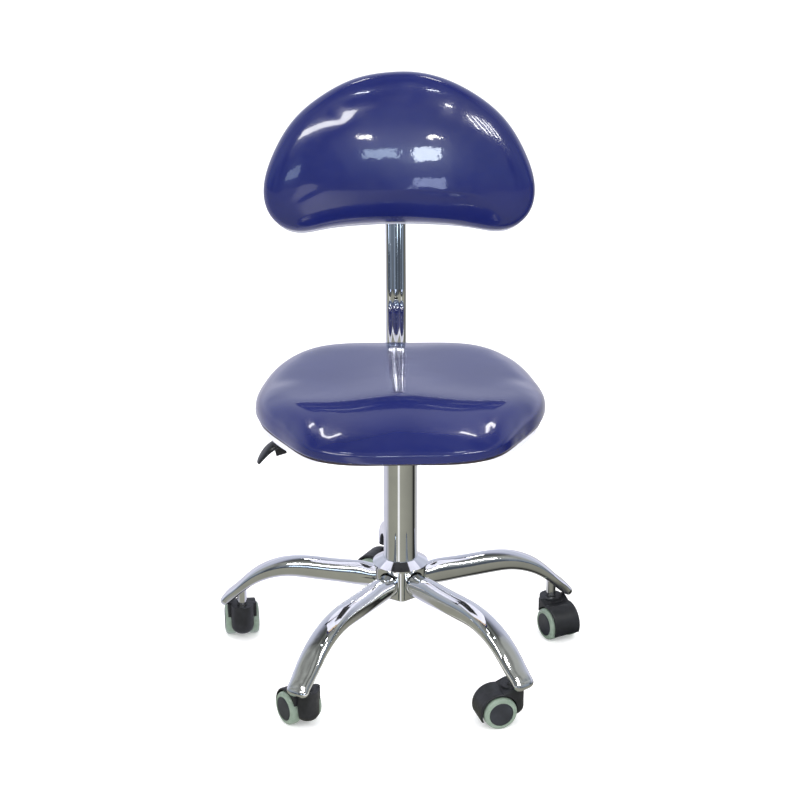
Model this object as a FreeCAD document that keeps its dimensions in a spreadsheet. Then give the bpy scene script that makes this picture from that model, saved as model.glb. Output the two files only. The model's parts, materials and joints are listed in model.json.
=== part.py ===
import FreeCAD, Part
import math
import os
import re

import Sketcher
from FreeCAD import Placement, Rotation, Vector

# A dentist's stool: a five-star base on twin-wheel casters, a gas-spring column, a saddle seat and a
# kidney-shaped backrest on a bent strap. Millimetres. +Z is up, the origin is on the column's axis at
# the floor, and the sitter faces -Y, so the sitter's right hand is on the -X side.

# Driving dimensions. Every other size is worked out from these.
DIMENSIONS = {
    # column and gas spring
    "column_radius": 25,
    "column_wall": 1.5,
    "column_bottom": 114,
    "column_top": 330,
    "column_floor": 5,
    "bushing_length": 80,
    "bushing_lip": 3,
    "cylinder_radius": 14,
    "cylinder_bore": 12.5,
    "cylinder_bottom": 133,
    "cylinder_top": 371,
    "taper_length": 32,
    "taper_shrink": 0.7,
    "rod_radius": 5,
    "rod_bottom": 106,
    "piston_height": 283,
    "piston_length": 10,
    "running_gap": 0.06,
    "race_height": 1.5,
    "ball_radius": 1.5,
    "ball_circle": 8.2,
    "ball_count": 10,
    "valve_radius": 3,
    "valve_top": 375.5,
    # hub
    "star_turn": 2.3,
    "leg_count": 5,
    "hub_bottom": 112,
    "hub_top": 161,
    "hub_apothem": 34,
    "hub_corner_round": 12,
    "hub_edge_round": 4,
    "socket_floor": 30,
    "socket_gap": 1,
    "collar_radius": 41.5,
    "collar_height": 11,
    "collar_rim": 2.5,
    "collar_neck": 26.5,
    # legs
    "leg_axis_height": 136,
    "leg_root_width": 32,
    "leg_root_depth": 38,
    "leg_knee_width": 37,
    "leg_knee_depth": 17.5,
    "leg_nose_width": 35,
    "leg_nose_depth": 15,
    "leg_bend_start": 152,
    "leg_bend_radius": 132,
    "leg_droop": 44,
    "leg_nose_run": 44,
    "leg_early_share": 0.22,
    "leg_wall": 1.8,
    "leg_cavity_end": 232,
    "leg_nose_round": 4,
    "leg_nose_taper": 9,
    # caster
    "stem_reach": 252,
    "stem_radius": 5.5,
    "stem_bottom": 39,
    "stem_top": 88,
    "sleeve_radius": 7.4,
    "sleeve_bottom": 61.2,
    "sleeve_top": 95,
    "wheel_radius": 25,
    "wheel_trail": 24,
    "wheel_width": 19,
    "wheel_gap": 15,
    "tread_depth": 7,
    "tread_round": 6,
    "cap_round": 2.5,
    "axle_radius": 3,
    "hood_top": 60,
    "hood_width": 44,
    "hood_front_radius": 17.5,
    "hood_floor": 12,
    "hood_round": 2.5,
    "fender_radius": 30,
    "fender_clearance": 2.3,
    "web_width": 13,
    # seat
    "cushion_bottom": 408,
    "cushion_top": 450,
    "cushion_round": 22,
    "cushion_under_round": 9,
    "board_bottom": 399,
    "board_thickness": 12,
    "packing_inset": 6,
    "board_inset": 16,
    "shell_bottom": 388,
    "shell_inset": 5,
    "shell_wall": 3,
    "shell_round": 9,
    # mechanism
    "plate_thickness": 3,
    "plate_half_width": 80,
    "plate_front": 100,
    "plate_back": 122,
    "housing_half_width": 46,
    "housing_front": 60,
    "housing_back": 42,
    "housing_depth": 34,
    "bolt_radius": 4,
    "bolt_head_radius": 7,
    "bolt_head_height": 5,
    "bolt_across": 66,
    "bolt_front": 84,
    "bolt_back": 84,
    "lever_turn": 190,
    "lever_height": 380,
    "lever_radius": 4,
    "lever_length": 186,
    "lever_fall": 10,
    "lever_pivot_reach": 34,
    "lever_pin_radius": 2.5,
    "lug_width": 5,
    # strap
    "strap_lobe_radius": 7,
    "strap_lobe_offset": 9,
    "strap_groove_depth": 2.4,
    "strap_wall": 1.8,
    "strap_start": 70,
    "strap_height": 372,
    "strap_upright": 262,
    "strap_bend_radius": 42,
    "strap_lean_height": 467,
    "strap_lean_radius": 160,
    "strap_end_height": 797,
    "strap_hole_height": 490,
    "strap_hole_radius": 2.75,
    "strap_clearance": 0.3,
    "sleeve_length": 56,
    "bracket_wall": 3,
    "knob_radius": 17,
    "knob_height": 20,
    "knob_tip_gap": 1.1,
    "stud_radius": 4,
    # backrest, in its own leaning frame
    "back_lean": 13,
    "back_origin_y": 223.2,
    "back_origin_z": 619.5,
    "back_shift": 5.5,
    "back_thickness": 48,
    "back_round": 20,
    "back_board_thickness": 10,
    "back_board_inset": 16,
    "back_shell_depth": 9,
    "back_shell_drop": 9,
    "back_shell_round": 4,
    "bracket_height": 100,
    "bracket_length": 70,
}

# Each leg's name, with the compass direction in which its caster trails behind its stem.
CASTERS = {
    "right": -63.5,
    "back": 150.0,
    "left": 95.0,
    "front_left": 122.0,
    "front_right": 195.0,
}

doc = FreeCAD.newDocument("dentist_stool")
sheet = doc.addObject("Spreadsheet::Sheet", "Dimensions")
for row, (alias, value) in enumerate(DIMENSIONS.items(), 1):
    sheet.set(f"A{row}", alias)
    sheet.set(f"B{row}", str(value))
    sheet.setAlias(f"B{row}", alias)
doc.recompute()

parts = {}


def size(alias):
    """The number in the sheet's cell of that name."""
    return float(sheet.get(alias))


def terms(expression):
    """The expression with each dimension's name pointing at the sheet."""

    def point(match):
        word = match.group()
        return f"Dimensions.{word}" if word in DIMENSIONS else word

    return re.sub(r"[a-z_]+", point, str(expression))


def bind(thing, **expressions):
    for name, expression in expressions.items():
        thing.setExpression(name, terms(expression))


def keep(thing, label):
    """Marks the object as a sub-part whose label names its file."""
    thing.Label = label
    parts[label] = thing
    return thing


def shaped(label, shape, placement=None):
    """A sub-part with a free-form shape, placed after its shape is set."""
    feature = doc.addObject("Part::Feature", label)
    feature.Shape = shape
    feature.Placement = placement or Placement()
    return keep(feature, label)


# Outlines and bodies


def origin_plane(body, role):
    return next(item for item in body.Origin.OriginFeatures if item.Role == role)


def outline_sketch(body, role, name, corners):
    """A closed outline of straight sides. Each corner is a pair of expressions."""
    sketch = body.newObject("Sketcher::SketchObject", name)
    sketch.AttachmentSupport = (origin_plane(body, role), "")
    sketch.MapMode = "FlatFace"
    spots = []
    for across, along in corners:
        spots.append(Vector(
            sketch.evalExpression(terms(across)), sketch.evalExpression(terms(along)), 0))
    count = len(spots)
    for index in range(count):
        sketch.addGeometry(Part.LineSegment(spots[index], spots[(index + 1) % count]))
    for index in range(count):
        sketch.addConstraint(Sketcher.Constraint("Coincident", index, 2, (index + 1) % count, 1))
    for index, (across, along) in enumerate(corners):
        for kind, expression, value in (
                ("DistanceX", across, spots[index].x), ("DistanceY", along, spots[index].y)):
            number = sketch.addConstraint(Sketcher.Constraint(kind, -1, 1, index, 1, value))
            sketch.setExpression(f"Constraints[{number}]", terms(expression))
    return sketch


def circle_sketch(body, role, name, centre, radius):
    """One circle, with expressions for its centre and radius."""
    sketch = body.newObject("Sketcher::SketchObject", name)
    sketch.AttachmentSupport = (origin_plane(body, role), "")
    sketch.MapMode = "FlatFace"
    values = [float(sketch.evalExpression(terms(item))) for item in (*centre, radius)]
    sketch.addGeometry(Part.Circle(Vector(values[0], values[1], 0), Vector(0, 0, 1), values[2]))
    rules = (
        (Sketcher.Constraint("DistanceX", -1, 1, 0, 3, values[0]), centre[0]),
        (Sketcher.Constraint("DistanceY", -1, 1, 0, 3, values[1]), centre[1]),
        (Sketcher.Constraint("Radius", 0, values[2]), radius),
    )
    for rule, expression in rules:
        number = sketch.addConstraint(rule)
        sketch.setExpression(f"Constraints[{number}]", terms(expression))
    return sketch


def turned_body(name, corners):
    """A body turned about its own Z axis, from an outline of (radius, height) corners."""
    body = doc.addObject("PartDesign::Body", name)
    turning = body.newObject("PartDesign::Revolution", f"{name}_turning")
    turning.Profile = outline_sketch(body, "XZ_Plane", f"{name}_profile", corners)
    turning.ReferenceAxis = (turning.Profile[0], ["V_Axis"])
    turning.Angle = 360
    doc.recompute()
    return body


def add_pad(body, role, name, corners, length, offset="0"):
    """Pads an outline on one of the body's origin planes, moved along that plane's axis."""
    sketch = outline_sketch(body, role, f"{name}_outline", corners)
    bind(sketch, **{"AttachmentOffset.Base.z": offset})
    pad = body.newObject("PartDesign::Pad", name)
    pad.Profile = sketch
    bind(pad, Length=length)
    doc.recompute()
    return pad


def add_pocket(body, name, sketch, length, offset="0"):
    """Cuts the sketch into the body, and makes sure that it took something away."""
    before = body.Shape.Volume
    bind(sketch, **{"AttachmentOffset.Base.z": offset})
    pocket = body.newObject("PartDesign::Pocket", name)
    pocket.Profile = sketch
    bind(pocket, Length=length)
    doc.recompute()
    if body.Shape.Volume > before - 0.01:
        raise RuntimeError(f"{name} cut nothing")
    return pocket


def round_edges(body, name, radius, wanted):
    """Rounds the edges of the body that pass the test."""
    base = body.Tip
    edges = [f"Edge{index + 1}" for index, edge in enumerate(base.Shape.Edges) if wanted(edge)]
    if not edges:
        raise RuntimeError(f"{name} found no edges")
    rounding = body.newObject("PartDesign::Fillet", name)
    rounding.Base = (base, edges)
    bind(rounding, Radius=radius)
    doc.recompute()
    return rounding


def level(edge, height):
    """True for an edge that lies flat at that height."""
    return all(abs(point.z - height) < 0.01 for point in edge.discretize(5))


def ring_edge(edge, radius, height):
    return level(edge, height) and abs(edge.BoundBox.XMax - radius) < 0.01


def turned_about(angle):
    return Rotation(Vector(0, 0, 1), angle)


def polar(reach, angle, height=0):
    """A point at that reach and compass direction from the column's axis."""
    return turned_about(angle).multVec(Vector(reach, 0, height))


def leg_angle(index):
    return 18 + size("star_turn") + 360 / size("leg_count") * index


def at_each_leg(shape, reach):
    """A group of separate solids, one at that reach on each leg."""
    copies = []
    for index in range(int(size("leg_count"))):
        copy = shape.copy()
        angle = leg_angle(index)
        copy.Placement = Placement(polar(reach, angle), turned_about(angle)).multiply(copy.Placement)
        copies.append(copy)
    return Part.makeCompound(copies)


# Lofts with oval sections along a route in the XZ plane


def oval(reach, height, slope, width, depth, squareness):
    """A closed oval, standing across a route that falls away at that slope."""
    points = []
    for step in range(16):
        angle = math.radians(360 / 16 * step)
        across = math.copysign(abs(math.cos(angle)) ** (2 / squareness), math.cos(angle)) * width / 2
        up = math.copysign(abs(math.sin(angle)) ** (2 / squareness), math.sin(angle)) * depth / 2
        lean = math.radians(slope)
        points.append(Vector(reach + up * math.sin(lean), across, height + up * math.cos(lean)))
    curve = Part.BSplineCurve()
    curve.interpolate(Points=points, PeriodicFlag=True)
    return Part.Wire([curve.toShape()])


def blend(start, end, share):
    return start + (end - start) * share


# Column and gas spring


def make_column():
    keep(turned_body("column_tube", [
        ("rod_radius + running_gap", "column_bottom"),
        ("column_radius", "column_bottom"),
        ("column_radius", "column_top"),
        ("column_radius - column_wall", "column_top"),
        ("column_radius - column_wall", "column_bottom + column_floor"),
        ("rod_radius + running_gap", "column_bottom + column_floor"),
    ]), "column_tube")
    keep(turned_body("column_bushing", [
        ("cylinder_radius + running_gap", "column_top - bushing_length"),
        ("column_radius - column_wall", "column_top - bushing_length"),
        ("column_radius - column_wall", "column_top"),
        ("column_radius", "column_top"),
        ("column_radius - 1", "column_top + bushing_lip"),
        ("cylinder_radius + running_gap", "column_top + bushing_lip"),
    ]), "column_bushing")


def make_thrust_bearing():
    """Two flat races with a ring of balls between them, on the column's floor."""
    floor = size("column_bottom") + size("column_floor")
    race = size("race_height")
    ball = size("ball_radius")
    circle = size("ball_circle")
    inner = size("rod_radius") + 0.3
    outer = circle * 2 - inner
    solids = []
    for bottom in (floor, floor + race + ball * 2):
        ring = Part.makeCylinder(outer, race, Vector(0, 0, bottom))
        solids.append(ring.cut(Part.makeCylinder(inner, race, Vector(0, 0, bottom))))
    count = int(size("ball_count"))
    for index in range(count):
        centre = polar(circle, 360 / count * index, floor + race + ball)
        solids.append(Part.makeSphere(ball, centre))
    shaped("thrust_bearing", Part.makeCompound(solids))


def make_gas_spring():
    rod = turned_body("piston_rod", [
        ("0", "rod_bottom"),
        ("rod_radius", "rod_bottom"),
        ("rod_radius", "column_bottom - 5.5"),
        ("rod_radius - 1", "column_bottom - 5.5"),
        ("rod_radius - 1", "column_bottom - 3"),
        ("rod_radius", "column_bottom - 3"),
        ("rod_radius", "column_bottom + column_floor + 2 * race_height + 2 * ball_radius + 0.3"),
        ("ball_circle", "column_bottom + column_floor + 2 * race_height + 2 * ball_radius + 0.3"),
        ("ball_circle", "cylinder_bottom - 4"),
        ("rod_radius", "cylinder_bottom - 4"),
        ("rod_radius", "piston_height"),
        ("cylinder_bore - running_gap", "piston_height"),
        ("cylinder_bore - running_gap", "piston_height + piston_length"),
        ("0", "piston_height + piston_length"),
    ])
    keep(rod, "piston_rod")
    clip = turned_body("retaining_clip", [
        ("rod_radius - 1", "column_bottom - 5"),
        ("rod_radius + 4", "column_bottom - 5"),
        ("rod_radius + 4", "column_bottom - 3.5"),
        ("rod_radius - 1", "column_bottom - 3.5"),
    ])
    mouth = outline_sketch(clip, "XY_Plane", "clip_mouth", [
        ("0", "-2.5"), ("rod_radius + 5", "-2.5"), ("rod_radius + 5", "2.5"), ("0", "2.5")])
    add_pocket(clip, "clip_opening", mouth, "10", offset="column_bottom")
    keep(clip, "retaining_clip")
    keep(turned_body("gas_cylinder", [
        ("rod_radius + running_gap", "cylinder_bottom"),
        ("cylinder_radius", "cylinder_bottom"),
        ("cylinder_radius", "cylinder_top - taper_length"),
        ("cylinder_radius - taper_shrink", "cylinder_top"),
        ("valve_radius + running_gap", "cylinder_top"),
        ("valve_radius + running_gap", "cylinder_top - taper_length - 4"),
        ("cylinder_bore", "cylinder_top - taper_length - 4"),
        ("cylinder_bore", "cylinder_bottom + 16"),
        ("rod_radius + running_gap", "cylinder_bottom + 16"),
    ]), "gas_cylinder")
    keep(turned_body("valve_button", [
        ("0", "cylinder_top - taper_length"),
        ("valve_radius", "cylinder_top - taper_length"),
        ("valve_radius", "valve_top - 0.6"),
        ("valve_radius - 0.6", "valve_top"),
        ("0", "valve_top"),
    ]), "valve_button")


# Base


def make_hub():
    """A five-sided casting: one flat side faces each leg, with an oval socket in it."""
    apothem = size("hub_apothem")
    height = size("hub_top") - size("hub_bottom")
    corner_reach = apothem / math.cos(math.pi / size("leg_count"))
    count = int(size("leg_count"))
    corners = [polar(corner_reach, leg_angle(index) + 180 / count, size("hub_bottom"))
               for index in range(count)]
    block = Part.Face(Part.makePolygon(corners + corners[:1])).extrude(Vector(0, 0, height))
    uprights = [edge for edge in block.Edges if edge.BoundBox.ZLength > height - 0.01]
    block = block.makeFillet(size("hub_corner_round"), uprights)
    low = [edge for edge in block.Edges if level(edge, size("hub_bottom"))]
    block = block.makeFillet(size("hub_edge_round"), low)
    bore = Part.makeCylinder(size("column_radius"), height, Vector(0, 0, size("hub_bottom")))
    gap = size("socket_gap") * 2
    first = oval(size("socket_floor") - 5, size("leg_axis_height"), 0,
                 size("leg_root_width") + gap, size("leg_root_depth") + gap, 2)
    socket = Part.Face(first).extrude(Vector(20, 0, 0))
    core = Part.makeCylinder(size("socket_floor"), height, Vector(0, 0, size("hub_bottom")))
    socket = socket.cut(core)
    shaped("base_hub", block.cut(bore).cut(at_each_leg(socket, 0)))
    keep(turned_body("hub_collar", [
        ("column_radius", "hub_top"),
        ("collar_radius", "hub_top"),
        ("collar_radius", "hub_top + collar_rim"),
        ("collar_neck", "hub_top + collar_height"),
        ("column_radius", "hub_top + collar_height"),
    ]), "hub_collar")


def leg_route():
    """Stations along a leg's axis: (reach, height, slope, share of the bend, share of the nose)."""
    height = size("leg_axis_height")
    start = size("leg_bend_start")
    radius = size("leg_bend_radius")
    droop = size("leg_droop")
    root = size("socket_floor") - 4
    stations = [(blend(root, start, step / 4), height, 0, step / 4 - 1, 0) for step in range(4)]
    for step in range(5):
        share = step / 4
        turn = math.radians(droop * share)
        reach = start + radius * math.sin(turn)
        stations.append((reach, height - radius * (1 - math.cos(turn)), droop * share, share, 0))
    knee_reach, knee_height = stations[-1][:2]
    fall = math.radians(droop)
    for share in (0.5, 1):
        run = size("leg_nose_run") * share
        stations.append((knee_reach + run * math.cos(fall), knee_height - run * math.sin(fall),
                         droop, 1, share))
    return stations


def leg_section(station, inset, taper=0):
    """The leg's oval at a station, shrunk by the inset: tall at the root, flattened past the bend."""
    reach, height, slope, bend, nose = station
    if bend < 0:
        share = size("leg_early_share") * (1 + bend)
    else:
        share = blend(size("leg_early_share"), 1, bend)
    width = blend(size("leg_root_width"), size("leg_knee_width"), share)
    depth = blend(size("leg_root_depth"), size("leg_knee_depth"), share)
    width = blend(width, size("leg_nose_width"), nose) - 2 * (inset + taper)
    depth = blend(depth, size("leg_nose_depth"), nose) - 2 * inset
    return oval(reach, height, slope, width, depth, blend(2, 2.8, share))


def rounded_nose(station):
    """The leg's end past its last station, drawn in along a quarter circle."""
    reach, height, slope, bend, nose = station
    radius = size("leg_nose_round")
    length = size("leg_nose_taper")
    fall = math.radians(slope)
    sections = []
    for turn in (0, 20, 40, 60, 78):
        advance = length * math.sin(math.radians(turn))
        drawn = 1 - math.cos(math.radians(turn))
        spot = (reach + advance * math.cos(fall), height - advance * math.sin(fall), slope, bend, nose)
        sections.append(leg_section(spot, radius * drawn, (length - radius) * drawn))
    return Part.makeLoft(sections, True)


def make_legs():
    stations = leg_route()
    body = Part.makeLoft([leg_section(station, 0) for station in stations], True)
    body = body.fuse(rounded_nose(stations[-1]))
    open_end = size("leg_cavity_end")
    hollow = [station for station in stations if station[0] < open_end]
    cavity = Part.makeLoft([leg_section(station, size("leg_wall")) for station in hollow], True)
    hub_core = Part.makeCylinder(size("socket_floor"), size("hub_top"))
    hole = Part.makeCylinder(size("sleeve_radius"), size("sleeve_top"), Vector(size("stem_reach"), 0, 0))
    leg = body.cut(cavity).cut(hub_core).cut(hole)
    for index, name in enumerate(CASTERS):
        shaped(f"leg_{name}", leg, Placement(Vector(), turned_about(leg_angle(index))))


def make_stems():
    """Five sleeves let into the legs, with the casters' steel stems and their grip rings inside."""
    neck = size("stem_top") - 8
    sleeve = turned_body("socket_sleeve", [
        ("stem_radius + 0.1", "sleeve_bottom"),
        ("sleeve_radius", "sleeve_bottom"),
        ("sleeve_radius", "sleeve_top"),
        ("0", "sleeve_top"),
        ("0", "stem_top + 2"),
        ("stem_radius + 0.1", "stem_top + 2"),
    ])
    stem = turned_body("stem", [
        ("0", "stem_bottom"),
        ("stem_radius", "stem_bottom"),
        ("stem_radius", "hood_top + 0.4"),
        ("sleeve_radius", "hood_top + 0.4"),
        ("sleeve_radius", "sleeve_bottom"),
        ("stem_radius", "sleeve_bottom"),
        ("stem_radius", "stem_top - 8"),
        ("stem_radius - 1", "stem_top - 8"),
        ("stem_radius - 1", "stem_top - 4"),
        ("stem_radius", "stem_top - 4"),
        ("stem_radius - 1", "stem_top"),
        ("0", "stem_top"),
    ])
    ring = turned_body("grip_ring", [
        ("stem_radius - 1", "stem_top - 7.5"),
        ("stem_radius + 0.1", "stem_top - 7.5"),
        ("stem_radius + 0.1", "stem_top - 4.5"),
        ("stem_radius - 1", "stem_top - 4.5"),
    ])
    split = outline_sketch(ring, "XY_Plane", "ring_split", [
        ("0", "-1"), ("stem_radius + 2", "-1"), ("stem_radius + 2", "1"), ("0", "1")])
    add_pocket(ring, "ring_opening", split, "20", offset="stem_top")
    reach = size("stem_reach")
    shaped("caster_sockets", at_each_leg(sleeve.Shape, reach))
    shaped("caster_stems", at_each_leg(stem.Shape, reach))
    shaped("grip_rings", at_each_leg(ring.Shape, reach))


# Casters. A caster's own frame has the stem on its Z axis and the wheels trailing along +X.


def hood_shape():
    """The moulded hood, with a round-nosed stem housing, a fender and a web, and the axle pin in it."""
    trail = size("wheel_trail")
    axle_height = size("wheel_radius")
    top = size("hood_top")
    floor = size("hood_floor")
    nose = size("hood_front_radius")
    outer = size("fender_radius")
    inner = size("wheel_radius") + size("fender_clearance")
    half_width = size("hood_width") / 2
    half_web = size("web_width") / 2
    side = Vector(0, 1, 0)

    housing = Part.makeCylinder(nose, top - floor, Vector(0, 0, floor))
    chin = [edge for edge in housing.Edges if level(edge, floor)]
    housing = housing.makeFillet(nose * 0.75, chin)

    def rim(angle):
        turn = math.radians(angle)
        return Vector(trail + outer * math.cos(turn), -half_width, axle_height + outer * math.sin(turn))

    crown = Vector(0, -half_width, top)
    shoulder = Vector(trail * 0.3, -half_width, top)
    heel = Vector(trail, -half_width, floor)
    toe = Vector(0, -half_width, floor + nose * 0.6)
    path = Part.Wire([
        Part.LineSegment(crown, shoulder).toShape(),
        Part.LineSegment(shoulder, rim(100)).toShape(),
        Part.Arc(rim(100), rim(40), rim(-22)).toShape(),
        Part.LineSegment(rim(-22), heel).toShape(),
        Part.LineSegment(heel, toe).toShape(),
        Part.LineSegment(toe, crown).toShape(),
    ])
    fender = Part.Face(path).extrude(side * half_width * 2)
    hood = housing.fuse(fender).removeSplitter()
    outside = [edge for edge in hood.Edges
               if edge.BoundBox.YLength < 0.01 and abs(abs(edge.BoundBox.YMax) - half_width) < 0.01
               and edge.BoundBox.XMax > trail * 0.3 + 0.01 and edge.BoundBox.ZMax > axle_height]
    hood = hood.makeFillet(size("hood_round"), outside)
    for sign in (-1, 1):
        start = Vector(trail, sign * half_web, axle_height)
        hood = hood.cut(Part.makeCylinder(inner, half_width * 2, start, side * sign))
    stem_bore = Part.makeCylinder(size("stem_radius") + size("running_gap"), top,
                                  Vector(0, 0, size("stem_bottom") - 0.5))
    axle_length = 2 * (half_web + 15)
    axle_start = Vector(trail, -axle_length / 2, axle_height)
    axle = Part.makeCylinder(size("axle_radius"), axle_length, axle_start, side)
    return Part.makeCompound([hood.cut(stem_bore).cut(axle), axle])


def make_wheel(name, placement):
    """A wheel core with its hub cap, and the soft tyre around it, turned about the axle."""
    core = turned_body(f"{name}_core", [
        ("axle_radius + running_gap", "0"),
        ("wheel_radius - tread_depth", "0"),
        ("wheel_radius - tread_depth", "wheel_width"),
        ("0", "wheel_width"),
        ("0", "wheel_width - 3"),
        ("axle_radius + running_gap", "wheel_width - 3"),
    ])
    core_radius = size("wheel_radius") - size("tread_depth")
    width = size("wheel_width")
    round_edges(core, f"{name}_cap_rim", "cap_round", lambda edge: ring_edge(edge, core_radius, width))
    core.Placement = placement
    keep(core, f"{name}_core")
    tyre = turned_body(f"{name}_tyre", [
        ("wheel_radius - tread_depth", "0.5"),
        ("wheel_radius", "0.5"),
        ("wheel_radius", "wheel_width - 0.5"),
        ("wheel_radius - tread_depth", "wheel_width - 0.5"),
    ])
    radius = size("wheel_radius")
    round_edges(tyre, f"{name}_shoulders", "tread_round",
                lambda edge: abs(edge.BoundBox.XMax - radius) < 0.01 and edge.BoundBox.ZLength < 0.01)
    tyre.Placement = placement
    keep(tyre, f"{name}_tyre")


def make_casters():
    hood = hood_shape()
    for index, (name, trail_angle) in enumerate(CASTERS.items()):
        stem = polar(size("stem_reach"), leg_angle(index))
        caster = Placement(stem, turned_about(trail_angle))
        shaped(f"caster_{name}_hood", hood, caster)
        for side, sign in (("inner", 1), ("outer", -1)):
            hub = Vector(size("wheel_trail"), sign * size("wheel_gap") / 2, size("wheel_radius"))
            facing = Rotation(Vector(0, 0, 1), Vector(0, sign, 0))
            make_wheel(f"caster_{name}_{side}", caster.multiply(Placement(hub, facing)))


# Seat


def smooth_outline(half):
    """A closed smooth curve through the points of one half and their mirror images."""
    mirrored = [(-across, along) for across, along in reversed(half) if across > 0]
    curve = Part.BSplineCurve()
    curve.interpolate(Points=[Vector(*point, 0) for point in half + mirrored], PeriodicFlag=True)
    return curve


def drawn_in(curve, inset):
    """The outline moved inwards by the inset, through points spread evenly along it."""
    count = 36
    points = []
    for step in range(count):
        place = curve.parameterAtDistance(curve.length() * step / count, curve.FirstParameter)
        inward = curve.tangent(place)[0].cross(Vector(0, 0, 1))
        points.append(curve.value(place) + inward * inset)
    inner = Part.BSplineCurve()
    inner.interpolate(Points=points, PeriodicFlag=True)
    return inner


def slab(curve, inset, bottom, top):
    """The outline, drawn in by the inset, as a solid between two heights."""
    wire = Part.Wire([drawn_in(curve, inset).toShape()])
    wire.translate(Vector(0, 0, bottom))
    return Part.Face(wire).extrude(Vector(0, 0, top - bottom))


def rounded(solid, radius, height):
    """The solid with its rim at that height rounded."""
    return solid.makeFillet(radius, [edge for edge in solid.Edges if level(edge, height)])


# Half of the seat's outline seen from above, from the middle of the back round to the front.
SEAT_HALF = [(0, 190), (80, 188), (135, 174), (176, 135), (200, 75), (211, 0), (199, -62),
             (166, -125), (130, -178), (85, -198), (0, -200)]

# Half of the seat cover's outline: just inside the cushion's, but well back from its front edge.
COVER_HALF = [(0, 185), (78, 183), (132, 169.5), (172, 132), (195, 73), (206, 0), (194, -61),
              (162, -121), (137, -148), (108, -158), (60, -160), (0, -160)]


def make_seat():
    outline = smooth_outline(SEAT_HALF)
    cover = smooth_outline(COVER_HALF)
    board_bottom = size("board_bottom")
    board_top = board_bottom + size("board_thickness")
    shell_bottom = size("shell_bottom")
    cushion_bottom = size("cushion_bottom")
    wall = size("shell_wall")
    floor = shell_bottom + wall

    shell = slab(cover, 0, shell_bottom, cushion_bottom)
    shell = rounded(shell, size("shell_round"), shell_bottom)
    shell = shell.cut(slab(cover, wall, floor, cushion_bottom))
    packing = slab(cover, wall + size("packing_inset"), floor, board_bottom)
    board = slab(outline, size("board_inset"), board_bottom, board_top)
    front_room = slab(cover, wall, board_bottom, cushion_bottom)
    front_rim = slab(cover, -1, board_bottom, cushion_bottom).cut(front_room)
    board = board.cut(front_rim).fuse(packing)
    board = max(board.Solids, key=lambda solid: solid.Volume)
    for spot in bolt_spots():
        board = board.cut(Part.makeCylinder(size("bolt_radius"), board_top - floor,
                                            spot + Vector(0, 0, floor)))
        shell = shell.cut(Part.makeCylinder(size("bolt_radius"), wall, spot + Vector(0, 0, shell_bottom)))
    cushion = slab(outline, 0, cushion_bottom, size("cushion_top"))
    cushion = rounded(cushion, size("cushion_round"), size("cushion_top"))
    cushion = rounded(cushion, size("cushion_under_round"), cushion_bottom)
    pocket = slab(outline, size("board_inset"), cushion_bottom, board_top)
    shaped("seat_board", board)
    shaped("seat_shell", shell)
    shaped("seat_cushion", cushion.cut(pocket))


# Seat mechanism


def bolt_spots():
    """Where the four bolts go through the seat plate, seen from above."""
    across = size("bolt_across")
    return [Vector(side * across, along, 0)
            for side in (-1, 1) for along in (-size("bolt_front"), size("bolt_back"))]


def lever_place(reach, height):
    """A frame on the lever's line, with +X pointing out along the lever."""
    turn = size("lever_turn")
    return Placement(polar(reach, turn, height), turned_about(turn))


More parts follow.
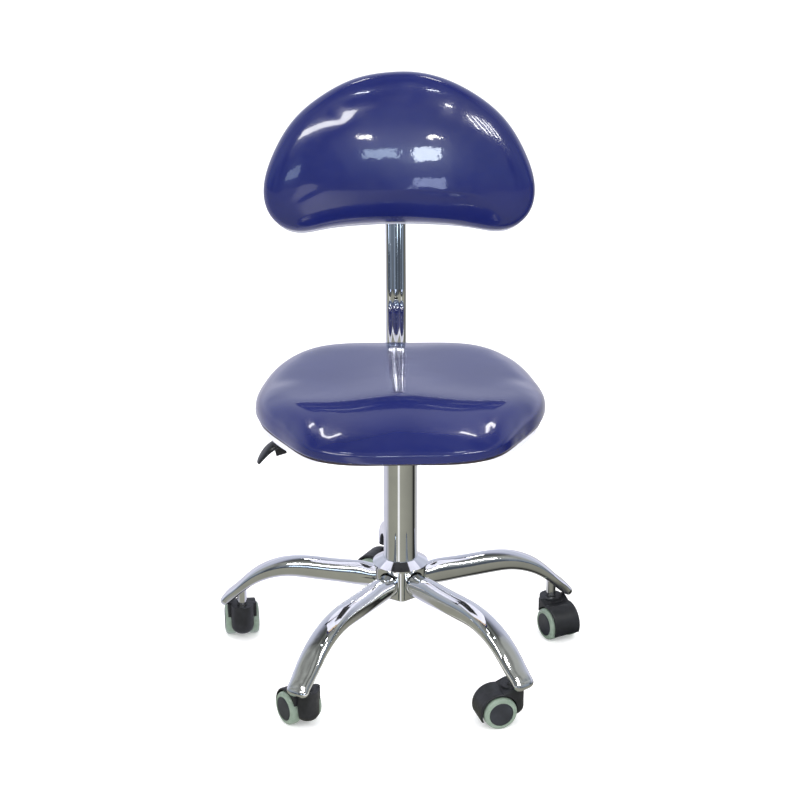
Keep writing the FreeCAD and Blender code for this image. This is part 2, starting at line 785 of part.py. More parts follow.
def make_mechanism():
    """The stamped plate with its channel, lugs for the lever's pin, and the socket for the column."""
    plate_bottom = size("shell_bottom") - size("plate_thickness")
    body = doc.addObject("PartDesign::Body", "seat_plate")
    add_pad(body, "XY_Plane", "flange", [
        ("-plate_half_width", "-plate_front"),
        ("plate_half_width", "-plate_front"),
        ("plate_half_width", "plate_back"),
        ("-plate_half_width", "plate_back"),
    ], "plate_thickness", offset="shell_bottom - plate_thickness")
    round_edges(body, "flange_corners", "12", lambda edge: edge.BoundBox.ZLength > 1)
    add_pad(body, "XY_Plane", "channel", [
        ("-housing_half_width", "-housing_front"),
        ("housing_half_width", "-housing_front"),
        ("housing_half_width", "housing_back"),
        ("-housing_half_width", "housing_back"),
    ], "housing_depth", offset="shell_bottom - plate_thickness - housing_depth")
    inside = outline_sketch(body, "XY_Plane", "channel_inside", [
        ("-housing_half_width + plate_thickness", "-housing_front + plate_thickness"),
        ("housing_half_width - plate_thickness", "-housing_front + plate_thickness"),
        ("housing_half_width - plate_thickness", "housing_back - plate_thickness"),
        ("-housing_half_width + plate_thickness", "housing_back - plate_thickness"),
    ])
    add_pocket(body, "channel_hollow", inside, "housing_depth - plate_thickness",
               offset="shell_bottom - plate_thickness")
    slot = outline_sketch(body, "YZ_Plane", "lever_slot", [
        ("-24", "lever_height - lever_radius - 5"),
        ("8", "lever_height - lever_radius - 5"),
        ("8", "shell_bottom - plate_thickness"),
        ("-24", "shell_bottom - plate_thickness"),
    ])
    add_pocket(body, "lever_opening", slot, "20", offset="-housing_half_width + 10")
    socket_hole = circle_sketch(body, "XY_Plane", "socket_hole", ("0", "0"), "cylinder_radius + 6")
    add_pocket(body, "socket_opening", socket_hole, "10",
               offset="shell_bottom - plate_thickness - housing_depth + 5")
    for number, spot in enumerate(bolt_spots()):
        along = "-bolt_front" if spot.y < 0 else "bolt_back"
        across = "-bolt_across" if spot.x < 0 else "bolt_across"
        hole = circle_sketch(body, "XY_Plane", f"bolt_hole_{number}", (across, along), "bolt_radius + 0.2")
        add_pocket(body, f"bolt_opening_{number}", hole, "10", offset="shell_bottom")
    shape = body.Shape
    pin_radius = size("lever_pin_radius")
    gap = size("lever_radius") + 2
    width = size("lug_width")
    pivot = lever_place(size("lever_pivot_reach"), size("lever_height"))
    for sign in (-1, 1):
        lug = Part.makeBox(12, width, plate_bottom - size("lever_height") + 6)
        lug.translate(Vector(-6, sign * (gap + width / 2) - width / 2, -6))
        lug.Placement = pivot.multiply(lug.Placement)
        shape = shape.fuse(lug)
    pin = Part.makeCylinder(pin_radius, 2 * (gap + width), Vector(0, -gap - width, 0), Vector(0, 1, 0))
    placed_pin = pin.copy()
    placed_pin.Placement = pivot.multiply(pin.Placement)
    shaped("seat_plate", shape.cut(placed_pin).removeSplitter())
    shaped("lever_pin", Part.makeCompound([pin]), pivot)
    keep(turned_body("taper_socket", [
        ("cylinder_radius", "cylinder_top - taper_length"),
        ("cylinder_radius + 6", "cylinder_top - taper_length"),
        ("cylinder_radius + 6", "cylinder_top - 3"),
        ("cylinder_radius - taper_shrink * (taper_length - 3) / taper_length", "cylinder_top - 3"),
    ]), "taper_socket")


def make_bolts():
    """Hexagon-headed bolts from under the plate up into the board."""
    plate_bottom = size("shell_bottom") - size("plate_thickness")
    head_height = size("bolt_head_height")
    points = [polar(size("bolt_head_radius"), 60 * index) for index in range(6)]
    head = Part.Face(Part.makePolygon(points + points[:1])).extrude(Vector(0, 0, head_height))
    reach = size("board_bottom") + size("board_thickness") - plate_bottom - 1
    shank = Part.makeCylinder(size("bolt_radius"), reach, Vector(0, 0, head_height))
    bolt = head.fuse(shank)
    bolts = []
    for spot in bolt_spots():
        copy = bolt.copy()
        copy.translate(spot + Vector(0, 0, plate_bottom - head_height))
        bolts.append(copy)
    shaped("plate_bolts", Part.makeCompound(bolts))


def lever_rod():
    """The arm's rod: level over the valve, then falling gently outwards from its pivot."""
    radius = size("lever_radius")
    reach = size("lever_pivot_reach")
    fall = size("lever_fall")
    run = size("lever_length") - reach
    inner = Part.makeCylinder(radius, reach + 7, Vector(-7, 0, 0), Vector(1, 0, 0))
    outer = Part.makeCylinder(radius, math.hypot(run, fall), Vector(reach, 0, 0), Vector(run, 0, -fall))
    return inner.fuse(outer).fuse(Part.makeSphere(radius, Vector(reach, 0, 0)))


def make_lever():
    """A steel arm over the valve button, with a drooping paddle for the fingers at its outer end."""
    radius = size("lever_radius")
    reach = size("lever_pivot_reach")
    eye = Part.makeBox(16, 2 * radius + 3, 2 * radius, Vector(reach - 8, -radius - 1.5, -radius))
    bore = Part.makeCylinder(size("lever_pin_radius") + size("running_gap"), 4 * radius,
                             Vector(reach, -2 * radius, 0), Vector(0, 1, 0))
    place = lever_place(0, size("lever_height"))
    rod = lever_rod()
    shaped("lever_arm", rod.fuse(eye).cut(bore).removeSplitter(), place)

    end = size("lever_length")
    fall = size("lever_fall")
    # the paddle's stations: reach past the arm's end, drop, slope, width and thickness
    stations = [(-26, 2, 3, 15, 12), (-10, 0.5, 10, 19, 12), (4, -4, 28, 24, 10.5),
                (14, -12, 46, 25, 8), (22, -22, 58, 20, 6), (26, -29, 62, 12, 4)]
    sections = [oval(end + out, drop - fall, slope, width, depth, 2.4)
                for out, drop, slope, width, depth in stations]
    fin = Part.makeBox(16, 3, 18, Vector(end - 12, -1.5, -fall - 20))
    fin.rotate(Vector(end, 0, -fall), Vector(0, 1, 0), 14)
    paddle = Part.makeLoft(sections, True).fuse(fin).cut(rod).removeSplitter()
    shaped("lever_paddle", paddle, place)


# Strap and backrest


def strap_section(inset):
    """The strap's section: two round lobes with a groove between them on both faces."""
    lobe = size("strap_lobe_radius")
    offset = size("strap_lobe_offset")
    waist = lobe - size("strap_groove_depth")
    groove = (offset ** 2 + waist ** 2 - lobe ** 2) / (2 * (lobe - waist))
    reach = lobe + groove
    centre = groove + waist
    touch = Vector(offset - lobe * offset / reach, lobe * centre / reach, 0)
    inner = lobe - inset
    scale = inner / lobe
    near = Vector(offset - (offset - touch.x) * scale, touch.y * scale, 0)
    bottom = waist - inset
    edges = []
    for side in (1, -1):
        edges.append(Part.Arc(
            Vector(side * near.x, -side * near.y, 0),
            Vector(side * (offset + inner), 0, 0),
            Vector(side * near.x, side * near.y, 0)).toShape())
        edges.append(Part.Arc(
            Vector(side * near.x, side * near.y, 0),
            Vector(0, side * bottom, 0),
            Vector(-side * near.x, side * near.y, 0)).toShape())
    return Part.Wire(Part.__sortEdges__(edges))


def strap_path():
    """The strap's axis: level under the seat, up behind it, then leaning back with the backrest."""
    height = size("strap_height")
    upright = size("strap_upright")
    bend = size("strap_bend_radius")
    lean = math.radians(size("back_lean"))
    lean_radius = size("strap_lean_radius")
    start = Vector(0, size("strap_start"), height)
    bend_in = Vector(0, upright - bend, height)
    bend_mid = Vector(0, upright - bend * (1 - math.sin(math.pi / 4)),
                      height + bend * (1 - math.cos(math.pi / 4)))
    bend_out = Vector(0, upright, height + bend)
    lean_in = Vector(0, upright, size("strap_lean_height"))

    def lean_point(share):
        turn = lean * share
        return lean_in + Vector(0, lean_radius * (1 - math.cos(turn)), lean_radius * math.sin(turn))

    lean_out = lean_point(1)
    rise = size("strap_end_height") - lean_out.z
    top = lean_out + Vector(0, rise * math.tan(lean), rise)
    return Part.Wire([
        Part.LineSegment(start, bend_in).toShape(),
        Part.Arc(bend_in, bend_mid, bend_out).toShape(),
        Part.LineSegment(bend_out, lean_in).toShape(),
        Part.Arc(lean_in, lean_point(0.5), lean_out).toShape(),
        Part.LineSegment(lean_out, top).toShape(),
    ]), lean_out


def make_strap():
    path, lean_out = strap_path()
    start = Placement(Vector(0, size("strap_start"), size("strap_height")),
                      Rotation(Vector(1, 0, 0), 90))
    tubes = []
    for inset in (0, size("strap_wall")):
        section = strap_section(inset)
        section.Placement = start
        tubes.append(path.makePipeShell([section], True, False))
    hole_height = size("strap_hole_height")
    radius = size("strap_lean_radius")
    turn = math.asin((hole_height - size("strap_lean_height")) / radius)
    axis_spot = Vector(0, size("strap_upright") + radius * (1 - math.cos(turn)), hole_height)
    forwards = Vector(0, -math.cos(turn), math.sin(turn))
    hole = Part.makeCylinder(size("strap_hole_radius"), size("strap_lobe_radius") * 2, axis_spot, forwards)
    shaped("back_strap", tubes[0].cut(tubes[1]).cut(hole))
    return lean_out


def sleeve_around(width, depth, length):
    """A steel sleeve with the strap's clearance hole, running along +Z."""
    section = strap_section(-size("strap_clearance"))
    tunnel = Part.Face(section).extrude(Vector(0, 0, length))
    block = Part.makeBox(width, depth, length, Vector(-width / 2, -depth / 2, 0))
    uprights = [edge for edge in block.Edges if edge.BoundBox.ZLength > length - 0.01]
    return block.makeFillet(4, uprights).cut(tunnel)


def knob_shape():
    """A fluted hand knob with its stud, on the Z axis: the stud's tip is at the origin."""
    radius = size("knob_radius")
    height = size("knob_height")
    stud = Part.makeCylinder(size("stud_radius"), 14)
    grip = Part.makeCylinder(radius, height, Vector(0, 0, 10))
    for index in range(8):
        grip = grip.cut(Part.makeCylinder(3.5, height, polar(radius + 1.5, 45 * index, 10)))
    grip = grip.makeFillet(1.2, [edge for edge in grip.Edges if level(edge, 10 + height)])
    return grip.fuse(stud).removeSplitter()


def strap_frame(lean_out):
    """A frame on the strap's upper run: +Z up along the strap, +Y behind it."""
    lean = Rotation(Vector(1, 0, 0), -size("back_lean"))
    return Placement(lean_out, lean)


def make_holders(lean_out):
    """The sleeve under the seat and the bracket on the backrest, each with its hand knob."""
    wall = size("bracket_wall")
    lobe = size("strap_lobe_radius")
    width = 2 * (size("strap_lobe_offset") + lobe + wall)
    plate_bottom = size("shell_bottom") - size("plate_thickness")
    depth = 2 * (plate_bottom - size("strap_height"))
    length = size("sleeve_length")
    sleeve_start = size("plate_back") - length - 4
    sleeve = sleeve_around(width, depth, length)
    knob_bore = Part.makeCylinder(size("stud_radius") + size("running_gap"), depth,
                                  Vector(0, 0, length / 2), Vector(0, 1, 0))
    sleeve = sleeve.cut(knob_bore)
    along = Placement(Vector(0, sleeve_start, size("strap_height")), Rotation(Vector(1, 0, 0), -90))
    shaped("strap_sleeve", sleeve, along)
    tip = size("strap_height") - lobe + size("strap_groove_depth") - size("knob_tip_gap")
    down = Placement(Vector(0, sleeve_start + length / 2, tip), Rotation(Vector(1, 0, 0), 180))
    shaped("depth_knob", knob_shape(), down)

    back = back_frame()
    strap = strap_frame(lean_out)
    offset = back.inverse().multVec(strap.Base).y
    plate_front = size("back_thickness") + size("back_shell_depth")
    bracket_depth = 2 * (offset - plate_front)
    bracket = sleeve_around(width, bracket_depth, size("bracket_length"))
    stud_bore = Part.makeCylinder(size("stud_radius") + size("running_gap"), bracket_depth,
                                  Vector(0, 0, size("bracket_length") / 2), Vector(0, 1, 0))
    wings = Part.makeBox(width + 44, wall, size("bracket_length"),
                         Vector(-width / 2 - 22, -bracket_depth / 2, 0))
    section = strap_section(-size("strap_clearance"))
    tunnel = Part.Face(section).extrude(Vector(0, 0, size("bracket_length")))
    bracket = bracket.fuse(wings).removeSplitter().cut(stud_bore).cut(tunnel)
    low = size("bracket_height") - size("bracket_length") / 2
    spot = back.multiply(Placement(Vector(0, offset, low), Rotation()))
    screws = []
    for side in (-1, 1):
        for share in (0.2, 0.8):
            place = Vector(side * (width / 2 + 12), plate_front + wall, low + size("bracket_length") * share)
            hole = Part.makeCylinder(2.5, wall, place - Vector(0, offset + wall, low), Vector(0, 1, 0))
            bracket = bracket.cut(hole)
            screws.append(place)
    shaped("back_bracket", bracket, spot)
    lean_tip = offset + lobe - size("strap_groove_depth") + size("knob_tip_gap")
    behind = Placement(Vector(0, lean_tip, size("bracket_height")), Rotation(Vector(1, 0, 0), -90))
    shaped("height_knob", knob_shape(), back.multiply(behind))
    return screws


# Half of the backrest's outline in its own leaning plane, from the top round to the middle of the foot.
BACK_HALF = [(0, 231.2), (63.6, 222.1), (114.1, 197.9), (161.5, 158.5), (191.8, 109), (206.9, 60.6),
             (204.9, 30.3), (189.8, 5), (161.5, -9.1), (116.1, -5), (60.6, 1), (0, 3)]


def back_frame():
    """The backrest's frame: X across, Z up along it and Y out of its back, at its front face's foot."""
    lean = Rotation(Vector(1, 0, 0), -size("back_lean"))
    return Placement(Vector(0, size("back_origin_y"), size("back_origin_z")), lean)


def back_slab(inset, front, rear, drop=0):
    """The backrest's outline as a solid between two depths behind its front face."""
    shape = slab(smooth_outline(BACK_HALF), inset, 0, rear - front)
    shape.translate(Vector(size("back_shift"), -drop, -rear))
    shape.rotate(Vector(), Vector(1, 0, 0), 90)
    return shape


def rim_edges(solid, depth):
    """The edges that lie at that depth behind the backrest's front face."""
    return [edge for edge in solid.Edges
            if all(abs(point.y - depth) < 0.01 for point in edge.discretize(5))]


def make_backrest(screw_spots):
    frame = back_frame()
    thickness = size("back_thickness")
    board_front = thickness - size("back_board_thickness")
    board = back_slab(size("back_board_inset"), board_front, thickness)
    cushion = back_slab(0, 0, thickness)
    cushion = cushion.makeFillet(size("back_round"), rim_edges(cushion, 0))
    cushion = cushion.makeFillet(size("cushion_under_round"), rim_edges(cushion, thickness))
    cushion = cushion.cut(board)
    wall = size("shell_wall")
    drop = size("back_shell_drop")
    rear = thickness + size("back_shell_depth")
    shell = back_slab(size("shell_inset"), thickness, rear, drop)
    shell = shell.makeFillet(size("back_shell_round"), rim_edges(shell, rear))
    shell = shell.cut(back_slab(size("shell_inset") + wall, thickness, rear - wall, drop))
    screws = []
    for spot in screw_spots:
        head = Part.makeCylinder(4.5, 3, spot, Vector(0, 1, 0))
        head = head.makeFillet(1.2, rim_edges(head, spot.y + 3))
        shank = Part.makeCylinder(2.5, 21, spot - Vector(0, 21, 0), Vector(0, 1, 0))
        board = board.cut(shank)
        shell = shell.cut(shank)
        screws.append(head.fuse(shank))
    shaped("back_board", board, frame)
    shaped("back_cushion", cushion, frame)
    shaped("back_shell", shell, frame)
    shaped("bracket_screws", Part.makeCompound(screws), frame)


def check_objects():
    """Stops on any object that failed, or any sub-part whose shape isn't sound."""
    for item in doc.Objects:
        if "Invalid" in item.State or "Error" in item.State:
            raise RuntimeError(f"{item.Label} failed: {item.State}")
    for label, item in parts.items():
        shape = item.Shape
        if shape.isNull() or not shape.isValid() or shape.Volume <= 0:
            raise RuntimeError(f"{label} has no sound shape")


make_column()
make_thrust_bearing()
make_gas_spring()
make_hub()
make_legs()
make_stems()
make_casters()
make_mechanism()
make_bolts()
make_lever()
make_seat()
lean_start = make_strap()
make_backrest(make_holders(lean_start))
doc.recompute()
check_objects()
os.makedirs("parts", exist_ok=True)
for label, item in parts.items():
    item.Shape.exportStep(f"parts/{label}.step")
print(f"{len(parts)} parts")
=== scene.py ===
"""The looks of the stool around the CAD part: upholstered pads, materials, a pale studio and a camera.

Both CAD cushions are replaced by soft pads made here. Every other piece is the CAD's own, with a procedural
material in each of its slots. Lengths are in metres.
"""

import json
import math

import bmesh
import bpy
import numpy as np
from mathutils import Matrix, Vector


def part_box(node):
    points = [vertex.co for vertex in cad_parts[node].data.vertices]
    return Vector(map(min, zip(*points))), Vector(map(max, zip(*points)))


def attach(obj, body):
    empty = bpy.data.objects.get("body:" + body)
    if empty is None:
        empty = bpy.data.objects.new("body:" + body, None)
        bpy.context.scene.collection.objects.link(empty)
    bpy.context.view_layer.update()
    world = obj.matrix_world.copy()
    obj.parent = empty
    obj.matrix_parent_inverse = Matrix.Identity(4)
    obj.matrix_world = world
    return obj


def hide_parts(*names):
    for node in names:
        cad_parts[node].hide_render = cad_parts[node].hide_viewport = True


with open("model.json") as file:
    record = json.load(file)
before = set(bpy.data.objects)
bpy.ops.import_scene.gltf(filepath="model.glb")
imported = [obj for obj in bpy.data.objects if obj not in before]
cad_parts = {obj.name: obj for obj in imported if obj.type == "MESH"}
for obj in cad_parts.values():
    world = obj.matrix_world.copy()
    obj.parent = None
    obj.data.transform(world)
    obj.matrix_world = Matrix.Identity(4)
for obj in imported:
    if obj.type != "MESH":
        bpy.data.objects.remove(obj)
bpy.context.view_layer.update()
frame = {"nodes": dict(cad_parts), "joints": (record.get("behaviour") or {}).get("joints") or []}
scene = bpy.context.scene


# ---------------------------------------------------------------- node helpers


class Nodes:
    """A node tree under construction: makes nodes, joins them and sets their inputs by name."""

    def __init__(self, tree):
        self.tree = tree

    def node(self, kind, settings=(), **inputs):
        made = self.tree.nodes.new(kind)
        for key, value in dict(settings).items():
            setattr(made, key, value)
        for key, value in inputs.items():
            self.feed(made.inputs[key.replace("_", " ")], value)
        return made

    def feed(self, socket, value):
        if isinstance(value, bpy.types.NodeSocket):
            self.tree.links.new(value, socket)
        else:
            socket.default_value = value

    def ramp(self, source, *stops):
        """A colour ramp: stops are (position, colour or grey level)."""
        made = self.node("ShaderNodeValToRGB", Fac=source)
        elements = made.color_ramp.elements
        while len(elements) < len(stops):
            elements.new(0.5)
        for element, (position, value) in zip(elements, stops):
            element.position = position
            colour = value if hasattr(value, "__len__") else (value, value, value)
            element.color = (*colour, 1.0)
        return made.outputs["Color"]

    def span(self, source, low, high, start=0.3, end=0.7):
        """source from start to end, spread over low to high."""
        made = self.node("ShaderNodeMapRange", Value=source)
        for key, value in (("From Min", start), ("From Max", end), ("To Min", low), ("To Max", high)):
            made.inputs[key].default_value = value
        return made.outputs["Result"]

    def maths(self, operation, first, second):
        made = self.node("ShaderNodeMath", {"operation": operation})
        self.feed(made.inputs[0], first)
        self.feed(made.inputs[1], second)
        return made.outputs["Value"]

    def mix(self, factor, first, second, blend="MIX"):
        """Two colours mixed by a factor."""
        made = self.node("ShaderNodeMix", {"data_type": "RGBA", "blend_type": blend})
        self.feed(made.inputs["Factor"], factor)
        self.feed(made.inputs["A"], first)
        self.feed(made.inputs["B"], second)
        return made.outputs["Result"]

    def split(self, vector):
        """The outputs X, Y and Z of a vector."""
        made = self.node("ShaderNodeSeparateXYZ", Vector=vector)
        return made.outputs

    def mirrored(self, plain, painted_reflection):
        """The plain shader, but for glossy rays the painted_reflection one: a painted reflection that
        polished faces see in its place.
        """
        both = self.node("ShaderNodeMixShader")
        self.feed(both.inputs[0], self.node("ShaderNodeLightPath").outputs["Is Glossy Ray"])
        self.feed(both.inputs[1], plain)
        self.feed(both.inputs[2], painted_reflection)
        return both.outputs[0]


class Shade(Nodes):
    """A material under construction, with its shader's inputs set by name."""

    def __init__(self, name):
        self.material = bpy.data.materials.new(name)
        self.material.use_nodes = True
        super().__init__(self.material.node_tree)
        self.shader = self.tree.nodes["Principled BSDF"]
        self.place = self.node("ShaderNodeTexCoord").outputs["Object"]

    def set(self, **inputs):
        for key, value in inputs.items():
            self.feed(self.shader.inputs[key.replace("_", " ")], value)

    def stretched(self, x=1.0, y=1.0, z=1.0):
        """Object coordinates stretched along each axis."""
        mapping = self.node("ShaderNodeMapping", Vector=self.place)
        mapping.inputs["Scale"].default_value = (x, y, z)
        return mapping.outputs["Vector"]

    def noise(self, scale, detail=3.0, roughness=0.55, where=None):
        made = self.node("ShaderNodeTexNoise", Scale=scale, Detail=detail, Roughness=roughness)
        self.feed(made.inputs["Vector"], where or self.place)
        return made.outputs["Fac"]

    def cells(self, scale, feature="F1"):
        made = self.node("ShaderNodeTexVoronoi", {"feature": feature}, Vector=self.place, Scale=scale)
        return made.outputs["Distance"]

    def bump(self, height, distance, strength, under=None):
        """A bump layer, over the one before it."""
        made = self.node("ShaderNodeBump", Height=height, Distance=distance, Strength=strength)
        if under is not None:
            self.feed(made.inputs["Normal"], under)
        return made.outputs["Normal"]

    def edge_wear(self, low, high):
        """Rises from 0 to 1 on convex edges, as their pointiness goes from low to high."""
        pointed = self.node("ShaderNodeNewGeometry").outputs["Pointiness"]
        return self.span(pointed, 0.0, 1.0, low, high)


# ---------------------------------------------------------------- materials


def chrome():
    s = Shade("chrome_plate")
    colour = s.ramp(s.noise(14, 4, 0.6), (0.3, (0.80, 0.81, 0.84)), (0.7, (0.91, 0.92, 0.94)))
    s.set(Base_Color=colour, Metallic=1.0, Roughness=s.span(s.noise(38, 4), 0.03, 0.08))
    waves = s.bump(s.noise(9, 2), 0.0022, 0.3)
    s.set(Normal=s.bump(s.noise(900, 2), 0.00002, 0.25, waves))
    return s.material


def steel():
    s = Shade("zinc_steel")
    brushed = s.noise(60, 4, 0.6, s.stretched(1, 1, 14))
    colour = s.ramp(brushed, (0.3, (0.46, 0.46, 0.45)), (0.7, (0.63, 0.63, 0.62)))
    s.set(Base_Color=colour, Metallic=1.0, Roughness=s.span(brushed, 0.22, 0.4))
    s.set(Normal=s.bump(brushed, 0.0001, 0.4))
    return s.material


def painted(name, dark, light, rough, grain, depth, metallic=0.0):
    """Powder coat, lacquer or moulded plastic: a fine grain with worn, paler edges."""
    s = Shade(name)
    cloud = s.noise(45, 4, 0.6)
    tone = s.ramp(cloud, (0.3, dark), (0.75, light))
    bare_dark = [level * 3 + 0.02 for level in light]
    bare_light = [level * 2 + 0.01 for level in light]
    bare = s.ramp(cloud, (0.3, bare_dark), (0.7, bare_light))
    worn = s.maths("MULTIPLY", s.edge_wear(0.52, 0.64), 0.35)
    s.set(Base_Color=s.mix(worn, tone, bare), Metallic=metallic, Roughness=s.span(s.noise(120, 3), *rough))
    s.set(Normal=s.bump(s.noise(grain, 3, 0.6), depth, 0.6))
    return s.material


def hood_plastic():
    s = Shade("castor_nylon")
    cloud = s.noise(60, 4, 0.6)
    tone = s.ramp(cloud, (0.3, (0.007, 0.008, 0.010)), (0.75, (0.016, 0.017, 0.021)))
    s.set(Base_Color=tone, Roughness=s.span(s.noise(160, 3), 0.36, 0.52), IOR=1.5)
    spark = s.bump(s.cells(1500), 0.00012, 0.5)
    s.set(Normal=s.bump(s.noise(260, 2), 0.00025, 0.3, spark))
    return s.material


def tyre():
    s = Shade("soft_polyurethane")
    cloud = s.noise(70, 4, 0.6)
    tone = s.ramp(cloud, (0.3, (0.17, 0.225, 0.175)), (0.7, (0.235, 0.295, 0.24)))
    s.set(Base_Color=tone, Roughness=s.span(s.noise(220, 3), 0.26, 0.44))
    s.set(Subsurface_Weight=0.25, Subsurface_Radius=(0.004, 0.005, 0.004), Subsurface_Scale=0.6)
    s.set(Normal=s.bump(s.noise(420, 3), 0.0002, 0.35), Coat_Weight=0.25, Coat_Roughness=0.15)
    return s.material


def plywood():
    s = Shade("birch_plywood")
    grain = s.noise(9, 5, 0.65, s.stretched(14, 1, 1))
    plies = s.node("ShaderNodeTexWave", {"bands_direction": "Z"}, Vector=s.place, Scale=110, Distortion=1.2)
    tone = s.ramp(grain, (0.25, (0.46, 0.32, 0.17)), (0.75, (0.66, 0.50, 0.31)))
    layers = s.ramp(plies.outputs["Fac"], (0.2, 0.55), (0.8, 1.0))
    s.set(Base_Color=s.mix(0.5, tone, layers, "MULTIPLY"), Roughness=s.span(grain, 0.55, 0.8))
    s.set(Normal=s.bump(grain, 0.0004, 0.5))
    return s.material


def shell_plastic():
    s = Shade("moulded_shell")
    tone = s.ramp(s.noise(18, 4, 0.55), (0.3, (0.66, 0.66, 0.76)), (0.7, (0.76, 0.76, 0.84)))
    s.set(Base_Color=tone, Roughness=s.span(s.noise(90, 3), 0.24, 0.38))
    s.set(Normal=s.bump(s.noise(1300, 2), 0.00006, 0.4))
    return s.material


def vinyl():
    """Wet-look vinyl: deep navy under a clear coat, a very fine grain and slow waves."""
    s = Shade("wet_look_vinyl")
    cloud = s.noise(7, 4, 0.5)
    tone = s.ramp(cloud, (0.3, (0.0062, 0.0100, 0.082)), (0.7, (0.0085, 0.0135, 0.102)))
    s.set(Base_Color=tone, Roughness=s.span(s.noise(55, 4), 0.16, 0.24), IOR=1.5)
    s.set(Coat_Weight=1.0, Coat_Roughness=0.03, Coat_IOR=1.5)
    waves = s.bump(s.noise(26, 2, 0.4), 0.0012, 0.18)
    s.set(Normal=s.bump(s.cells(900, "SMOOTH_F1"), 0.00006, 0.35, waves))
    s.set(Coat_Normal=s.bump(s.noise(150, 2, 0.5), 0.00008, 0.5, waves))
    return s.material


def welt_shade_vinyl():
    """The pads' turned-under edge: vinyl folded tight, coloured brown-black as painted shade for the dark
    gap under the pad.
    """
    s = Shade("turned_edge_painted_shade")
    cloud = s.noise(160, 3, 0.6)
    tone = s.ramp(cloud, (0.3, (0.018, 0.012, 0.016)), (0.7, (0.05, 0.034, 0.036)))
    s.set(Base_Color=tone, Roughness=s.span(cloud, 0.4, 0.6))
    s.set(Normal=s.bump(s.noise(500, 2), 0.0002, 0.5))
    return s.material


# the finish of each CAD material slot; painted takes dark and light tones, roughness, grain and its depth
FINISHES = {
    "chrome": chrome(),
    "steel": steel(),
    "cylinder_black": painted(
        "cylinder_lacquer", (0.010, 0.010, 0.011), (0.020, 0.020, 0.022), (0.2, 0.32), 500, 0.00004, 0.2
    ),
    "black_steel": painted(
        "powder_coat", (0.012, 0.012, 0.013), (0.026, 0.026, 0.028), (0.42, 0.6), 700, 0.0002
    ),
    "black_plastic": painted(
        "bushing_nylon", (0.012, 0.012, 0.013), (0.022, 0.022, 0.024), (0.4, 0.55), 900, 0.0001
    ),
    "hood_plastic": hood_plastic(),
    "hub_cap": painted(
        "hub_plastic", (0.016, 0.018, 0.024), (0.030, 0.033, 0.042), (0.3, 0.45), 800, 0.00008
    ),
    "knob_plastic": painted(
        "knob_plastic_grain", (0.010, 0.010, 0.011), (0.020, 0.020, 0.022), (0.36, 0.5), 1000, 0.00012
    ),
    "gloss_black": painted(
        "gloss_plastic", (0.006, 0.007, 0.009), (0.012, 0.013, 0.016), (0.06, 0.14), 60, 0.0001
    ),
    "tyre_grey": tyre(),
    "plywood": plywood(),
    "upholstery": vinyl(),
    "shell_plastic": shell_plastic(),
}
for cad_node in frame["nodes"].values():
    for material_slot in cad_node.material_slots:
        material_slot.material = FINISHES[material_slot.material.name]


# ---------------------------------------------------------------- outlines

ROUND_COUNT = 176  # points round a pad's outline
OUTLINE_EASING = 3  # smoothing rounds of an outline
GRID_EASING = 60  # smoothing rounds of the points inside it


def eased(loop, rounds):
    """A closed line of points or values, smoothed that many times."""
    for _ in range(rounds):
        loop = 0.5 * loop + 0.25 * (np.roll(loop, 1, 0) + np.roll(loop, -1, 0))
    return loop


def cut_outline(node, origin, out):
    """The closed line where a plane cuts a CAD node, as points in order round it."""
    mesh = bmesh.new()
    mesh.from_mesh(frame["nodes"][node].data)
    bmesh.ops.remove_doubles(mesh, verts=mesh.verts, dist=1e-6)
    everything = mesh.verts[:] + mesh.edges[:] + mesh.faces[:]
    cut = bmesh.ops.bisect_plane(
        mesh, geom=everything, plane_co=origin, plane_no=out, clear_inner=True, clear_outer=True
    )
    left = {e for e in cut["geom_cut"] if isinstance(e, bmesh.types.BMEdge)}
    loops = []
    while left:
        edge = left.pop()
        start, here = edge.verts
        loop = [start.co.copy(), here.co.copy()]
        while here != start:
            nexts = [e for e in here.link_edges if e in left]
            if not nexts:
                break
            left.discard(nexts[0])
            here = nexts[0].other_vert(here)
            loop.append(here.co.copy())
        loops.append(loop)
    mesh.free()
    return max(loops, key=lambda loop: sum((b - a).length for a, b in zip(loop, loop[1:])))


def even_loop(points, count, start_angle):
    """A closed 2D line as count evenly spaced points, anticlockwise from start_angle, lightly smoothed."""
    line = np.array(points, float)
    if np.sum(line[:-1, 0] * line[1:, 1] - line[1:, 0] * line[:-1, 1]) < 0:
        line = line[::-1]
    centre = (line.min(0) + line.max(0)) / 2
    angles = np.arctan2(line[:-1, 1] - centre[1], line[:-1, 0] - centre[0])
    first = int(np.argmin(np.abs(np.angle(np.exp(1j * (angles - start_angle))))))
    line = np.vstack([line[first:-1], line[: first + 1]])
    along = np.concatenate([[0], np.cumsum(np.linalg.norm(np.diff(line, axis=0), axis=1))])
    wanted = np.linspace(0, along[-1], count, endpoint=False)
    return eased(np.stack([np.interp(wanted, along, line[:, i]) for i in (0, 1)], 1), OUTLINE_EASING)


def inward(loop):
    """Unit vectors pointing into a closed anticlockwise line, at each of its points."""
    along = np.roll(loop, -1, 0) - np.roll(loop, 1, 0)
    normal = np.stack([-along[:, 1], along[:, 0]], 1)
    return normal / np.linalg.norm(normal, axis=1)[:, None]


